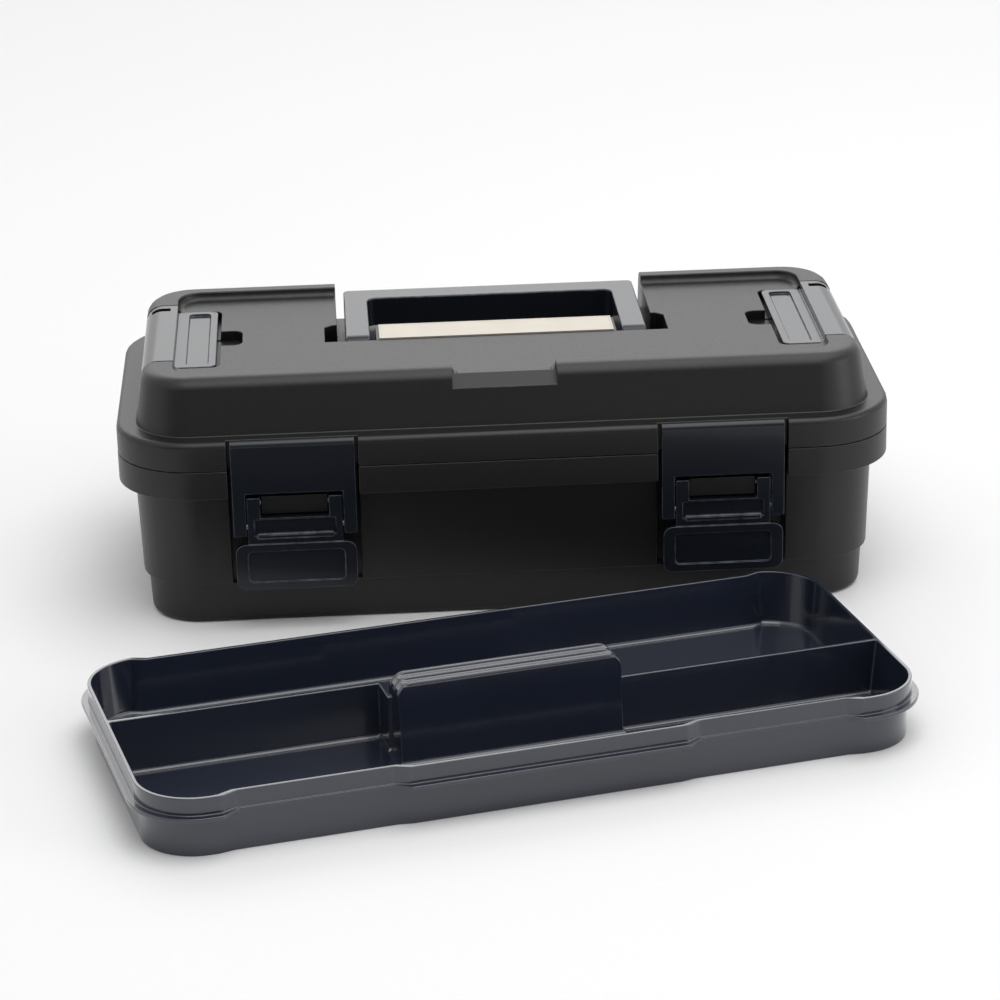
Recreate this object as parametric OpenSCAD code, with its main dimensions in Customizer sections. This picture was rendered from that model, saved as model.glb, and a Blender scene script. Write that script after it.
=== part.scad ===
// Toolbox with a lift-out tray: a moulded tub with a hinged domed lid, two draw latches, a folding
// carrying handle, a flip-up clip at each end of the lid, and a tray with a ridged grip in its middle.
// Millimetres, +Z up, front towards -Y, origin at the centre of the underside of the box.
// The box is closed, and its tray stands turned on the surface in front of it.

/* [Box] */
// Width of the box across its rim
box_w = 390; // [380:1:430]
// Depth of the box across its rim, without the hinges
box_d = 193; // [188:1:215]
// Height of the tub, from the floor to the seam
tub_h = 86; // [84:1:110]
// Height of the lid above the seam
lid_h = 42; // [41:0.5:48]
// Corner radius of the rim, seen from above
rim_r = 40; // [37:1:50]
// Wall thickness of the tub and the lid
wall = 2.5; // [2:0.1:3]
// Clear gap between pieces that move past each other
gap = 0.3; // [0.2:0.05:0.4]

/* [Tub] */
// Height of the rim flange round the tub
flange_h = 14.5; // [12:0.5:18]
// How far the tub wall stands in from the rim
wall_inset = 8; // [7.5:0.1:10]
// How far the wall leans in from the flange down to the step
wall_draft = 1.7; // [1:0.1:3.5]
// Height of the step above the floor
step_h = 22; // [16:1:24]
// Depth of the step
step_d = 2.3; // [2:0.1:3.5]
// How far the foot leans in below the step
foot_draft = 1; // [0.5:0.1:2]
// Radius of the bottom edge
foot_edge = 3.5; // [3:0.5:6]
// Thickness of the rim wall above the shoulder that carries the stored tray
rim_wall = 7.6; // [6.5:0.1:8]
// Depth of that shoulder below the seam
shoulder_h = 11; // [9:0.5:14]

/* [Lid] */
// Height of the flange round the lid, from the seam
lid_flange_h = 15; // [13:0.5:17]
// Radius of the upper edge of the lid flange
flange_edge = 3; // [1.5:0.5:3.5]
// How far the dome stands in from the rim at its base
dome_inset = 10; // [9:0.5:11]
// Corner radius of the dome at its base
dome_r = 28; // [26:1:32]
// How far the ends of the dome lean in
end_slope = 3; // [2.5:0.5:6]
// How far the front and back of the dome lean in
side_slope = 6.8; // [5:0.1:8]
// Radius of the upper edge of the dome
dome_edge = 8; // [6:0.5:8.5]
// How far the sunken top lies in from the rim
recess_inset = 30; // [28:0.5:32]
// Corner radius of the sunken top
recess_r = 12; // [8:1:16]
// Depth of the sunken top
recess_h = 4.3; // [3.5:0.1:5]
// Width of the notch in the front edge of the dome
notch_w = 52; // [30:1:80]
// Flat run of the notch in front of the sunken top
notch_flat = 3.5; // [2:0.5:6]
// Run of the notch's slope beyond the flat
notch_run = 10.5; // [9:0.5:14]
// Drop of the notch's slope
notch_drop = 4.5; // [2:0.5:5]

/* [Handle] */
// Width of the handle across its arms
handle_w = 155.4; // [140:0.2:165]
// Width of each arm
arm_w = 12.5; // [10:0.5:15]
// Thickness of the arms and the grip
handle_t = 15.5; // [13:0.5:16]
// Depth of the grip bar, front to back
grip_bar_d = 15; // [12:0.5:18]
// Reach of the handle from its pivot to its back edge
handle_reach = 76.5; // [70:0.5:80]
// Distance of the pivot in front of the middle of the lid
handle_pivot_d = 3.5; // [2:0.5:6]
// Outer corner radius of the handle
handle_r = 3; // [2:0.5:14]
// Inner corner radius of the handle
handle_inner_r = 5; // [3:0.5:8]
// Radius of the pivot studs
stud_r = 3; // [2.5:0.1:4]
// Length of the pivot studs
stud_l = 5.2; // [4.5:0.1:5.5]
// Height of the handle's top above the sunken top
handle_proud = 0.2; // [0:0.1:0.4]
// Space beside the handle's arms in its channel
channel_side = 4.3; // [2:0.1:6]
// Space in front of the round ends of the arms
channel_front = 1.3; // [1.2:0.1:3]
// Space under the handle
channel_under = 3.9; // [2:0.1:4.5]
// Space between the arms and the platform between them
platform_gap = 3; // [1.5:0.1:3.5]
// Depth of the platform between the arms
platform_d = 24; // [20:0.5:30]
// Width of the bay beside each arm's pivot, where the arm is spread when the handle is fitted
bay_w = 6.5; // [5:0.5:8]
// Depth of that bay, front to back
bay_d = 27.5; // [20:0.5:32]
// Chamfer at the back corner of that bay
bay_chamfer = 4; // [2:0.5:5]

/* [Label plate] */
// Margin of the platform at the ends of the label plate
label_end = 1.7; // [1:0.1:4]
// Margin of the platform in front of and behind the label plate
label_side = 0.75; // [0.5:0.05:3]
// Thickness of the label plate
label_t = 1.2; // [0.8:0.1:2]
// Depth of the label plate's seat below the sunken top
label_seat = 0.5; // [0.3:0.1:0.8]

/* [Latches] */
// Distance of the middle of each latch in from the end of the rim
latch_inset = 88; // [80:1:95]
// Width of the hook plate
plate_w = 61.5; // [50:0.5:68]
// Space at each side of the hook plate in its pocket
pocket_gap = 1.75; // [1:0.05:3]
// Depth of the latch pockets behind the face of the foot
pocket_in = 3; // [2.5:0.1:4]
// Thickness of the hook plate
plate_t = 4; // [3.5:0.1:4.2]
// Width of each leg of the hook plate beside its window
plate_leg = 6.45; // [5.5:0.05:8]
// Height of the window's top edge above the lever's pivot
window_up = 6.5; // [6:0.1:8]
// Space at each side of the lever's neck in that window
neck_gap = 0.7; // [0.5:0.1:1.5]
// Thickness of the neck of the lever
neck_t = 4; // [3:0.1:4.2]
// Width of each arm of the fork at the top of the lever
fork_arm = 6.5; // [5:0.1:8]
// How far each side of the paddle stands in from the side of the hook plate
paddle_inset = 0.55; // [0:0.05:3]
// Height of the paddle
paddle_h = 24.3; // [20:0.1:24.5]
// Thickness of the paddle
paddle_t = 4; // [3:0.1:5]
// Corner radius of the paddle
paddle_r = 5; // [3:0.5:8]
// How far the paddle stands out beyond the hook plate
paddle_proud = 0.5; // [0:0.1:1]
// Border left round the sunken panel of the paddle
panel_border = 4; // [3:0.5:6]
// Depth of the sunken panel of the paddle
panel_h = 1.3; // [0.8:0.1:1.6]
// Depth of the lever's pivot behind the face of the hook plate
pivot_in = 6.2; // [6:0.1:7]
// Height of the lever's pivot below the seam
pivot_down = 19; // [17:0.5:21]
// Depth of the hook's pivot behind the face of the hook plate
link_in = 4.2; // [4:0.1:4.6]
// Drop of the hook's pivot below the lever's pivot
link_drop = 12; // [11.8:0.1:13]
// Radius of the bosses round the lever's pivot
boss_r = 4.2; // [3.5:0.1:4.5]
// Wall round the hook's pivot
boss_wall = 2.5; // [2:0.1:2.7]
// Height of the bridge below the fork, above the hook's pivot
bridge_up = 5.5; // [4.5:0.1:5.9]
// Drop of the paddle's top below the hook's pivot
paddle_drop = 8.2; // [7.8:0.1:10]
// Radius of the latch pins
latch_pin_r = 1.5; // [1.2:0.1:1.7]
// Space at each side of the tub's pivot block in that fork
fork_gap = 0.5; // [0.3:0.1:1.5]
// Height of the pivot block above the lever's pivot
block_up = 4; // [3.5:0.1:5]
// Depth of the pivot block below the lever's pivot
block_down = 5.6; // [3:0.1:5.7]
// How far the pivot block stands ahead of the lever's pivot
block_ahead = 2.6; // [2.3:0.1:2.8]
// Thickness of the ribs above the pivot block
rib_t = 2.2; // [1.5:0.1:3]
// How far the ribs stand ahead of the lever's pivot
rib_ahead = 0.7; // [0:0.1:1]
// Distance of the ribs' tops below the seam
rib_drop = 2; // [1:0.5:6]

/* [End clips] */
// Width of each end clip, front to back
clip_w = 91; // [80:1:100]
// Radius of the clip's barrel
barrel_r = 9; // [8.5:0.1:9.5]
// Distance of the barrel's axis in from the rim
barrel_inset = 22; // [21.5:0.1:24]
// Reach of the clip from its axis to its inner edge
clip_reach = 29; // [24:0.5:32]
// Thickness of the clip's flap
flap_t = 4.7; // [4:0.1:5]
// Height of the flap's top above the sunken top
flap_proud = 0.3; // [0:0.1:0.5]
// Space between the flap's free end and the lid
flap_gap = 1.8; // [0.5:0.1:3]
// How far the opening in the lid's end wall reaches below the clip's axis
clip_drop = 4; // [3:0.5:6]
// Radius of the clip pins
clip_pin_r = 1.5; // [1.2:0.1:2]
// Radius of the flap's free corners
flap_r = 4; // [2:0.5:6]
// Width of the finger slot beside the flap
slot_w = 23.4; // [18:0.2:30]
// Length of the finger slot
slot_l = 12.7; // [8:0.1:16]
// Depth of the finger slot
slot_h = 5.2; // [4.5:0.1:6]
// Corner radius of the finger slot
slot_r = 5; // [3:0.5:8]

/* [Hinges] */
// Distance of the middle of each hinge in from the end of the rim
hinge_inset = 88; // [70:1:120]
// Width of each hinge
hinge_w = 40; // [30:1:60]
// Radius of the knuckles
knuckle_r = 4.2; // [3.5:0.1:5]
// Radius of the hinge pins
hinge_pin_r = 1.6; // [1.2:0.1:2]
// Height of the webs that carry the knuckles
web_h = 7; // [5:0.5:10]

/* [Tray] */
// Height of the tray
tray_h = 28.8; // [26:0.1:36]
// Wall thickness of the tray
tray_wall = 2; // [1.6:0.1:2.4]
// Floor thickness of the tray
tray_floor = 2; // [1.6:0.1:3]
// Height of the underside of the carrying ledge
ledge_z = 18.5; // [14:0.5:20]
// Thickness of the carrying ledge
ledge_t = 2; // [1.5:0.1:3]
// How far the ledge stands out from the tray's rim
ledge_out = 3.3; // [3:0.1:4]
// Space round the ends of the stored tray
tray_end_gap = 0.9; // [0.6:0.1:1.2]
// Space in front of and behind the stored tray
tray_side_gap = 6.8; // [5:0.1:8]
// Corner radius of the tray's rim
tray_r = 28; // [24:1:32]
// Depth of the bays in the tray's front, which clear the latch pockets
front_bay_d = 3.2; // [3:0.1:5]
// Length of the slope at each side of a bay
jog_l = 7; // [2:0.5:9]
// How far the back corners of the tray stand out
back_out = 3; // [1:0.5:4]
// Distance of the back corners from the ends of the rim
back_corner_l = 26; // [20:1:32]
// Thickness of the dividers
divider_t = 2.2; // [1.6:0.1:3]
// Distance of the left divider behind the middle of the tray
left_divider_y = 13.5; // [6:0.5:20]
// Distance of the tray's middle to the left of the box's middle
tray_left = 14.3; // [0:0.1:30]
// Clear distance between the tray and the swing of the latch paddles
tray_ahead = 0.6; // [0.5:0.1:40]
// Turn of the tray, anticlockwise seen from above
tray_turn = 13.5; // [0:0.5:20]

/* [Tray grip] */
// Width of the grip
grip_w = 107; // [90:1:120]
// Height of the grip's top above the surface
grip_h = 41; // [38:0.5:44]
// Distance of the grip's front face ahead of the middle of the tray, at its top
grip_front = 18.6; // [17:0.1:22]
// Depth of the grip at its top
grip_d = 15.2; // [14.5:0.1:20]
// How far the grip's front leans out at its foot
grip_lean = 3.4; // [1:0.1:6]
// Corner radius of the grip's top
grip_r = 7; // [3:0.5:10]
// Distance between the ridges on the grip
ridge_pitch = 6.3; // [5:0.1:7]
// Depth of the hollows between the ridges
ridge_h = 1.5; // [0.8:0.1:2]
// Radius of the hollows between the ridges
ridge_r = 3.8; // [3.4:0.1:6]
// Wall thickness of the grip
grip_wall = 2.4; // [2:0.1:3]

/* [Hidden] */

$fn = 48;
hull_fn = 32;
edge_fn = 16;
skin = 0.01;
lap = 1;
open_h = 60;
tight = 0.02;
running = 0.06;
left = -1;
right = 1;

shell_colour = "#3f3e3b";
navy_colour = "#2c2f37";
tray_colour = "#22252c";
label_colour = "#6f665c";
steel_colour = "silver";

rim_x = box_w / 2;
rim_y = box_d / 2;

flange_z = tub_h - flange_h;
shoulder_z = tub_h - shoulder_h;
wall_x = rim_x - wall_inset;
wall_y = rim_y - wall_inset;
wall_r = rim_r - wall_inset;
step_x = wall_x - wall_draft;
step_y = wall_y - wall_draft;
step_r = wall_r - wall_draft;
foot_x = step_x - step_d;
foot_y = step_y - step_d;
pocket_y = foot_y - pocket_in;
foot_r = step_r - step_d;

lid_z = tub_h + gap;
dome_z = tub_h + lid_flange_h;
lid_top = tub_h + lid_h;
dome_x = rim_x - dome_inset;
dome_y = rim_y - dome_inset;
crown_x = dome_x - end_slope;
crown_y = dome_y - side_slope;
crown_r = dome_r - end_slope;
recess_x = rim_x - recess_inset;
recess_y = rim_y - recess_inset;
recess_z = lid_top - recess_h;
ceiling_z = recess_z - wall;

handle_top = recess_z + handle_proud;
handle_x = handle_w / 2;
handle_in_x = handle_x - arm_w;
end_r = handle_t / 2;
handle_z = handle_top - end_r;
handle_y = -handle_pivot_d;
handle_back = handle_y + handle_reach;
channel_x = handle_x + channel_side;
channel_y = handle_y - end_r - channel_front;
channel_z = handle_top - handle_t - channel_under;
platform_x = handle_in_x - platform_gap;
platform_back = channel_y + platform_d;
platform_z = recess_z - label_seat;

latch_x = rim_x - latch_inset;
plate_x = plate_w / 2;
pocket_x = plate_x + pocket_gap;
window_x = plate_x - plate_leg;
neck_x = window_x - neck_gap;
fork_x = neck_x - fork_arm;
block_x = fork_x - fork_gap;
paddle_x = plate_x - paddle_inset;
lever_pin_y = -rim_y + pivot_in;
lever_pin_z = tub_h - pivot_down;
hook_pin_y = -rim_y + link_in;
hook_pin_z = lever_pin_z - link_drop;
catch_y = -rim_y + plate_t + gap;
hook_boss = latch_pin_r + boss_wall;
neck_y = -rim_y + gap - running;
bridge_top = hook_pin_z + bridge_up;
paddle_top = hook_pin_z - paddle_drop;

barrel_x = rim_x - barrel_inset;
barrel_z = lid_top - barrel_r;
flap_top = recess_z + flap_proud;
flap_z = flap_top - flap_t;
flap_x = barrel_x - clip_reach;
clip_y = clip_w / 2;

hinge_x = rim_x - hinge_inset;
hinge_y = rim_y + knuckle_r + gap;
knuckles = 5;
knuckle_w = hinge_w / knuckles;

tray_x = rim_x - rim_wall - tray_end_gap - ledge_out;
tray_y = rim_y - rim_wall - tray_side_gap - ledge_out;
tray_top_z = ledge_z + ledge_t;
front_bay_x = pocket_x + wall + gap;
back_bay_x = tray_x - back_corner_l;
tray_reach_x = (tray_x - tray_r) * sin(tray_turn);
tray_reach_y = (tray_y + back_out - tray_r) * cos(tray_turn) + tray_r;
paddle_foot_z = paddle_top - paddle_h;
paddle_foot_r = norm([pivot_in + paddle_proud, lever_pin_z - paddle_foot_z]);
paddle_swing = sqrt(pow(paddle_foot_r, 2) - pow(lever_pin_z - max(tray_h, paddle_foot_z), 2));
tray_pos_y = lever_pin_y - paddle_swing - tray_ahead - tray_reach_x - tray_reach_y;
grip_x = grip_w / 2;
grip_back = -grip_front + grip_d;
first_ridge = (2 * ridge_pitch + grip_back - grip_front) / 2;
right_divider_y = -grip_front + gap;

// Rectangle with round corners, from its half sizes and its corner radius
module plan(size) {
    hx = size[0];
    hy = size[1];
    r = size[2];
    square([2 * hx, 2 * (hy - r)], center = true);
    square([2 * (hx - r), 2 * hy], center = true);
    for (sx = [left, right], sy = [left, right])
        translate([sx * (hx - r), sy * (hy - r)]) circle(r);
}

// Upright prism on that rectangle
module slab(size, z0, z1) {
    translate([0, 0, z0]) linear_extrude(z1 - z0) plan(size);
}

// Foot of one corner of a drafted block, with a rounded or a sharp edge
module corner(r, edge) {
    if (edge > 0)
        translate([0, 0, edge]) rotate_extrude($fn = hull_fn)
            translate([r - edge, 0]) circle(edge, $fn = edge_fn);
    else
        cylinder(h = skin, r = r, $fn = hull_fn);
}

// Block that changes from one rounded rectangle to another, with its lower or upper edge rounded
module drafted(low, high, z0, z1, low_edge = 0, high_edge = 0) {
    hull()
        for (sx = [left, right], sy = [left, right]) {
            translate([sx * (low[0] - low[2]), sy * (low[1] - low[2]), z0])
                corner(low[2], low_edge);
            translate([sx * (high[0] - high[2]), sy * (high[1] - high[2]), z1])
                mirror([0, 0, 1]) corner(high[2], high_edge);
        }
}

// Box between two values on each axis
module block(x, y, z) {
    translate([x[0], y[0], z[0]]) cube([x[1] - x[0], y[1] - y[0], z[1] - z[0]]);
}

// Outline in Y and Z, drawn along X
module along_x(x0, x1) {
    translate([x0, 0, 0]) rotate([90, 0, 90]) linear_extrude(x1 - x0) children();
}

// Outline in X and Z, drawn along Y
module along_y(y0, y1) {
    translate([0, y1, 0]) rotate([90, 0, 0]) linear_extrude(y1 - y0) children();
}

// Rod along X through a point in Y and Z
module rod_x(x0, x1, y, z, r) {
    translate([x0, y, z]) rotate([0, 90, 0]) cylinder(h = x1 - x0, r = r);
}

// Rod along Y through a point in X and Z
module rod_y(y0, y1, x, z, r) {
    translate([x, y1, z]) rotate([90, 0, 0]) cylinder(h = y1 - y0, r = r);
}

// A copy for the left and the right latch
module both_latches() {
    for (side = [left, right]) translate([side * latch_x, 0, 0]) children();
}

// A copy for the left and the right end
module both_ends() {
    for (side = [left, right]) scale([side, 1, 1]) children();
}

// ---- Tub ----

module tub_outside() {
    low = [foot_x - foot_draft, foot_y - foot_draft, foot_r - foot_draft];
    drafted(low, [foot_x, foot_y, foot_r], 0, step_h + lap, foot_edge);
    drafted([step_x, step_y, step_r], [wall_x, wall_y, wall_r], step_h, flange_z + lap);
    slab([rim_x, rim_y, rim_r], flange_z, tub_h);
}

module tub_inside() {
    t = wall;
    d = foot_draft;
    low = [foot_x - t - d, foot_y - t - d, foot_r - t - d];
    drafted(low, [foot_x - t, foot_y - t, foot_r - t], t, step_h + t + lap, foot_edge - t);
    low_wall = [step_x - t, step_y - t, step_r - t];
    drafted(low_wall, [wall_x - t, wall_y - t, wall_r - t], step_h + t, shoulder_z + lap);
    slab([rim_x - rim_wall, rim_y - rim_wall, rim_r - rim_wall], shoulder_z, tub_h + lap);
}

// Space in front of the tub wall that one latch lies in
module latch_pocket() {
    block([-pocket_x, pocket_x], [-rim_y - lap, -pocket_y], [step_h, tub_h + lap]);
}

// Back and sides of the latch pocket inside the tub
module latch_pocket_wall() {
    x = pocket_x + wall;
    block([-x, x], [-rim_y, -pocket_y + wall], [step_h - wall, tub_h]);
}

// Block and ribs in the pocket that carry the lever's pin
module pivot_block() {
    back = -pocket_y + lap;
    top = lever_pin_z + block_up;
    block([-block_x, block_x], [lever_pin_y - block_ahead, back], [lever_pin_z - block_down, top]);
    rib = rib_t / 2;
    for (x = [-block_x + rib, 0, block_x - rib])
        block([x - rib, x + rib], [lever_pin_y - rib_ahead, back], [top - lap, tub_h - rib_drop]);
}

// Knuckles of one hinge, in the places of the given leaf, with the web that carries them
module hinge_leaf(places, clear, web) {
    for (place = places) {
        x0 = -hinge_w / 2 + place * knuckle_w + clear;
        x1 = -hinge_w / 2 + (place + 1) * knuckle_w - clear;
        along_x(x0, x1) {
            translate([hinge_y, tub_h]) circle(knuckle_r);
            translate([rim_y - lap, tub_h + web[0]]) square([hinge_y - rim_y + lap, web[1] - web[0]]);
        }
    }
}

module both_hinges() {
    for (side = [left, right]) translate([side * hinge_x, 0, 0]) children();
}

module tub() {
    color(shell_colour) difference() {
        union() {
            difference() {
                tub_outside();
                difference() {
                    tub_inside();
                    both_latches() latch_pocket_wall();
                }
                both_latches() latch_pocket();
            }
            both_latches() pivot_block();
            both_hinges() hinge_leaf([0, 2, 4], 0, [-web_h, 0]);
        }
        both_latches() rod_x(-pocket_x, pocket_x, lever_pin_y, lever_pin_z, latch_pin_r + tight);
        both_hinges() rod_x(-hinge_w, hinge_w, hinge_y, tub_h, hinge_pin_r + tight);
    }
}

// ---- Lid ----

module lid_outside() {
    rim = [rim_x, rim_y, rim_r];
    drafted(rim, rim, lid_z, dome_z, 0, flange_edge);
    base = [dome_x, dome_y, dome_r];
    drafted(base, [crown_x, crown_y, crown_r], dome_z - lap, lid_top, 0, dome_edge);
}

module lid_inside() {
    t = wall;
    slab([rim_x - t, rim_y - t, rim_r - t], lid_z - lap, dome_z - t);
    base = [dome_x - t, dome_y - t, dome_r - t];
    crown = [crown_x - t, crown_y - t, crown_r - t];
    drafted(base, crown, dome_z - t - lap, ceiling_z, 0, dome_edge - t);
}

// Channel that the handle folds into; grow adds the wall round it
module handle_channel(grow = 0) {
    x = channel_x + grow;
    y = channel_y - grow;
    back = channel_y + bay_d + grow;
    z = [channel_z - grow, lid_top + open_h];
    block([-x, x], [y, rim_y], z);
    both_ends() translate([0, 0, z[0]]) linear_extrude(z[1] - z[0])
        polygon([
            [channel_x - lap, y],
            [x + bay_w, y],
            [x + bay_w, back - bay_chamfer],
            [x + bay_w - bay_chamfer, back],
            [channel_x - lap, back]
        ]);
}

// Platform between the handle's arms; shrink takes the wall off it
module platform(shrink = 0) {
    x = platform_x - shrink;
    z = [channel_z - 2 * wall, platform_z - shrink];
    block([-x, x], [channel_y - 2 * wall, platform_back - shrink], z);
}

// Space that one end clip lies in; grow adds the wall round it
module clip_space(grow = 0) {
    y = clip_y + gap + grow;
    rod_y(-y, y, barrel_x, barrel_z, barrel_r + gap + grow);
    block([barrel_x, rim_x], [-y, y], [barrel_z - clip_drop - grow, lid_top + open_h]);
    x = flap_x - flap_gap - grow;
    z = [flap_z - gap - grow, lid_top + open_h];
    intersection() {
        block([x, barrel_x], [-y, y], z);
        translate([x + barrel_x, 0, 0]) slab([barrel_x, y, flap_r + gap + grow], z[0], z[1]);
    }
}

// Finger slot beside one end clip; grow adds the wall round it
module finger_slot(grow = 0) {
    inner = flap_x - gap - slot_l - grow;
    y = slot_w / 2 + grow;
    z = [recess_z - slot_h - grow, lid_top + open_h];
    intersection() {
        block([inner, flap_x - gap + lap], [-y, y], z);
        translate([inner + barrel_x, 0, 0]) slab([barrel_x, y, slot_r + grow], z[0], z[1]);
    }
}

// Notch in the front edge of the dome
module front_notch() {
    y = -recess_y - notch_flat;
    along_x(-notch_w / 2, notch_w / 2)
        polygon([
            [-recess_y + lap, recess_z],
            [y, recess_z],
            [y - notch_run, recess_z - notch_drop],
            [y - notch_run, lid_top + lap],
            [-recess_y + lap, lid_top + lap]
        ]);
}

// Cut-out in the lid flange that the hook plate lies in
module hook_seat() {
    block([-pocket_x, pocket_x], [-rim_y - lap, catch_y], [tub_h, dome_z + lap]);
}

// Solid behind that cut-out, which the hook plate draws down on
module catch_block() {
    x = pocket_x + wall;
    block([-x, x], [-rim_y, -pocket_y + wall], [tub_h, dome_z - wall]);
}

module lid() {
    color(shell_colour) difference() {
        union() {
            difference() {
                lid_outside();
                difference() {
                    lid_inside();
                    difference() {
                        handle_channel(wall);
                        platform(wall);
                    }
                    both_ends() clip_space(wall);
                    both_ends() finger_slot(wall);
                    both_latches() catch_block();
                }
                slab([recess_x, recess_y, recess_r], recess_z, lid_top + lap);
                front_notch();
                difference() {
                    handle_channel();
                    platform();
                }
                both_ends() clip_space();
                both_ends() finger_slot();
                both_latches() hook_seat();
            }
            both_hinges() hinge_leaf([1, 3], gap, [gap, web_h]);
        }
        both_hinges() rod_x(-hinge_w, hinge_w, hinge_y, tub_h, hinge_pin_r + running);
        rod_x(-handle_in_x, handle_in_x, handle_y, handle_z, stud_r + running);
        clip_pin_l = clip_y + wall;
        both_ends() rod_y(-clip_pin_l, clip_pin_l, barrel_x, barrel_z, clip_pin_r + tight);
    }
}

// ---- Handle and label plate ----

// Outline of the handle behind its pivot, seen from above
module handle_outline() {
    difference() {
        translate([0, handle_back - handle_x]) plan([handle_x, handle_x, handle_r]);
        translate([0, handle_back - grip_bar_d - handle_x])
            plan([handle_in_x, handle_x, handle_inner_r]);
        translate([0, handle_y - handle_x]) square(2 * handle_x, center = true);
    }
}

module handle() {
    color(navy_colour) {
        translate([0, 0, handle_top - handle_t]) linear_extrude(handle_t) handle_outline();
        both_ends() rod_x(handle_in_x, handle_x, handle_y, handle_z, end_r);
        both_ends() rod_x(handle_in_x - stud_l, handle_in_x + lap, handle_y, handle_z, stud_r);
    }
}

module label_plate() {
    x = platform_x - label_end;
    y = [channel_y + label_side, platform_back - label_side];
    color(label_colour) block([-x, x], y, [platform_z, platform_z + label_t]);
}

// ---- Latches ----

module latch_lever(side) {
    paddle_y = -rim_y - paddle_proud;
    paddle_z = paddle_top - paddle_h / 2;
    fork_top = lever_pin_z + boss_r;
    color(navy_colour) translate([side * latch_x, 0, 0]) difference() {
        union() {
            along_y(paddle_y, paddle_y + paddle_t)
                translate([0, paddle_z]) plan([paddle_x, paddle_h / 2, paddle_r]);
            block([-neck_x, neck_x], [neck_y, neck_y + neck_t], [paddle_top - lap, fork_top]);
            block([-neck_x, neck_x], [neck_y, hook_pin_y + hook_boss], [paddle_top, bridge_top]);
            block([-neck_x, neck_x], [neck_y, lever_pin_y], [bridge_top - lap, fork_top]);
            rod_x(-neck_x, neck_x, lever_pin_y, lever_pin_z, boss_r);
        }
        fork_back = lever_pin_y + boss_r + lap;
        block([-fork_x, fork_x], [neck_y - lap, fork_back], [bridge_top, fork_top + lap]);
        well_x = (fork_x + neck_x) / 2;
        well_z = [hook_pin_z - hook_boss, bridge_top - lap];
        block([-well_x, well_x], [neck_y - lap, neck_y + panel_h], well_z);
        along_y(paddle_y - lap, paddle_y + panel_h) translate([0, paddle_z])
            plan([paddle_x - 1.5 * panel_border, paddle_h / 2 - panel_border, paddle_r / 2]);
        rod_x(-neck_x - lap, neck_x + lap, lever_pin_y, lever_pin_z, latch_pin_r + running);
        rod_x(-neck_x - lap, neck_x + lap, hook_pin_y, hook_pin_z, latch_pin_r + running);
    }
}

module latch_hook(side) {
    y = [-rim_y, -rim_y + plate_t];
    top_edge = min(flange_edge, plate_t - skin);
    bottom = hook_pin_z - hook_boss;
    back = hook_pin_y + hook_boss;
    color(navy_colour) translate([side * latch_x, 0, 0]) difference() {
        union() {
            along_x(-plate_x, plate_x) {
                translate([y[0], bottom]) square([plate_t, dome_z - top_edge - bottom]);
                translate([y[0] + top_edge, bottom]) square([plate_t - top_edge, dome_z - bottom]);
                translate([y[0] + top_edge, dome_z - top_edge]) intersection() {
                    circle(top_edge);
                    translate([-top_edge, 0]) square(top_edge);
                }
            }
            block([-plate_x, plate_x], [y[0], back], [bottom, hook_pin_z + hook_boss]);
        }
        window_top = lever_pin_z + window_up;
        block([-window_x, window_x], [y[0] - lap, back + lap], [bottom - lap, window_top]);
        rod_x(-plate_x + lap, plate_x - lap, hook_pin_y, hook_pin_z, latch_pin_r + tight);
    }
}

module lever_pin(side) {
    half = neck_x - gap;
    color(steel_colour) translate([side * latch_x, 0, 0])
        rod_x(-half, half, lever_pin_y, lever_pin_z, latch_pin_r);
}

module hook_pin(side) {
    half = plate_x - lap - gap;
    color(steel_colour) translate([side * latch_x, 0, 0])
        rod_x(-half, half, hook_pin_y, hook_pin_z, latch_pin_r);
}

// ---- End clips ----

module clip(side) {
    color(navy_colour) scale([side, 1, 1]) difference() {
        intersection() {
            along_y(-clip_y, clip_y) {
                translate([barrel_x, barrel_z]) circle(barrel_r);
                translate([recess_x, flap_z]) square([barrel_x - recess_x, lid_top - flap_z]);
                translate([flap_x, flap_z]) square([clip_reach, flap_t]);
            }
            translate([flap_x + barrel_x, 0, 0])
                slab([barrel_x, clip_y, flap_r], barrel_z - barrel_r - lap, lid_top + lap);
        }
        panel = [flap_x + panel_border, recess_x - 1.5 * panel_border];
        y = clip_y - panel_border;
        block(panel, [-y, y], [flap_top - panel_h, flap_top + lap]);
        rod_y(-clip_y - lap, clip_y + lap, barrel_x, barrel_z, clip_pin_r + running);
    }
}

module clip_pin(side) {
    half = clip_y + wall - gap;
    color(steel_colour) scale([side, 1, 1]) rod_y(-half, half, barrel_x, barrel_z, clip_pin_r);
}

module hinge_pin(side) {
    color(steel_colour) translate([side * hinge_x, 0, 0])
        rod_x(-hinge_w / 2, hinge_w / 2, hinge_y, tub_h, hinge_pin_r);
}

// ---- Tray ----

// Outline of the tray, grown by g, and by bay_g in the bays that clear the latch pockets
module tray_plan(g, bay_g) {
    front = -tray_y - g;
    bay = -tray_y + front_bay_d - bay_g;
    back = tray_y + g;
    difference() {
        translate([0, back_out / 2])
            plan([tray_x + g, tray_y + g + back_out / 2, tray_r + g]);
        half = front_bay_x - min(g, 0);
        for (side = [left, right])
            translate([side * latch_x, 0]) polygon([
                [-half - jog_l, front - lap], [-half - jog_l, front], [-half, bay],
                [half, bay], [half + jog_l, front], [half + jog_l, front - lap]
            ]);
        far = back_bay_x - g;
        polygon([
            [-far, back + back_out + lap], [-far, back + back_out], [-far + jog_l, back],
            [far - jog_l, back], [far, back + back_out], [far, back + back_out + lap]
        ]);
    }
}

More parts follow.
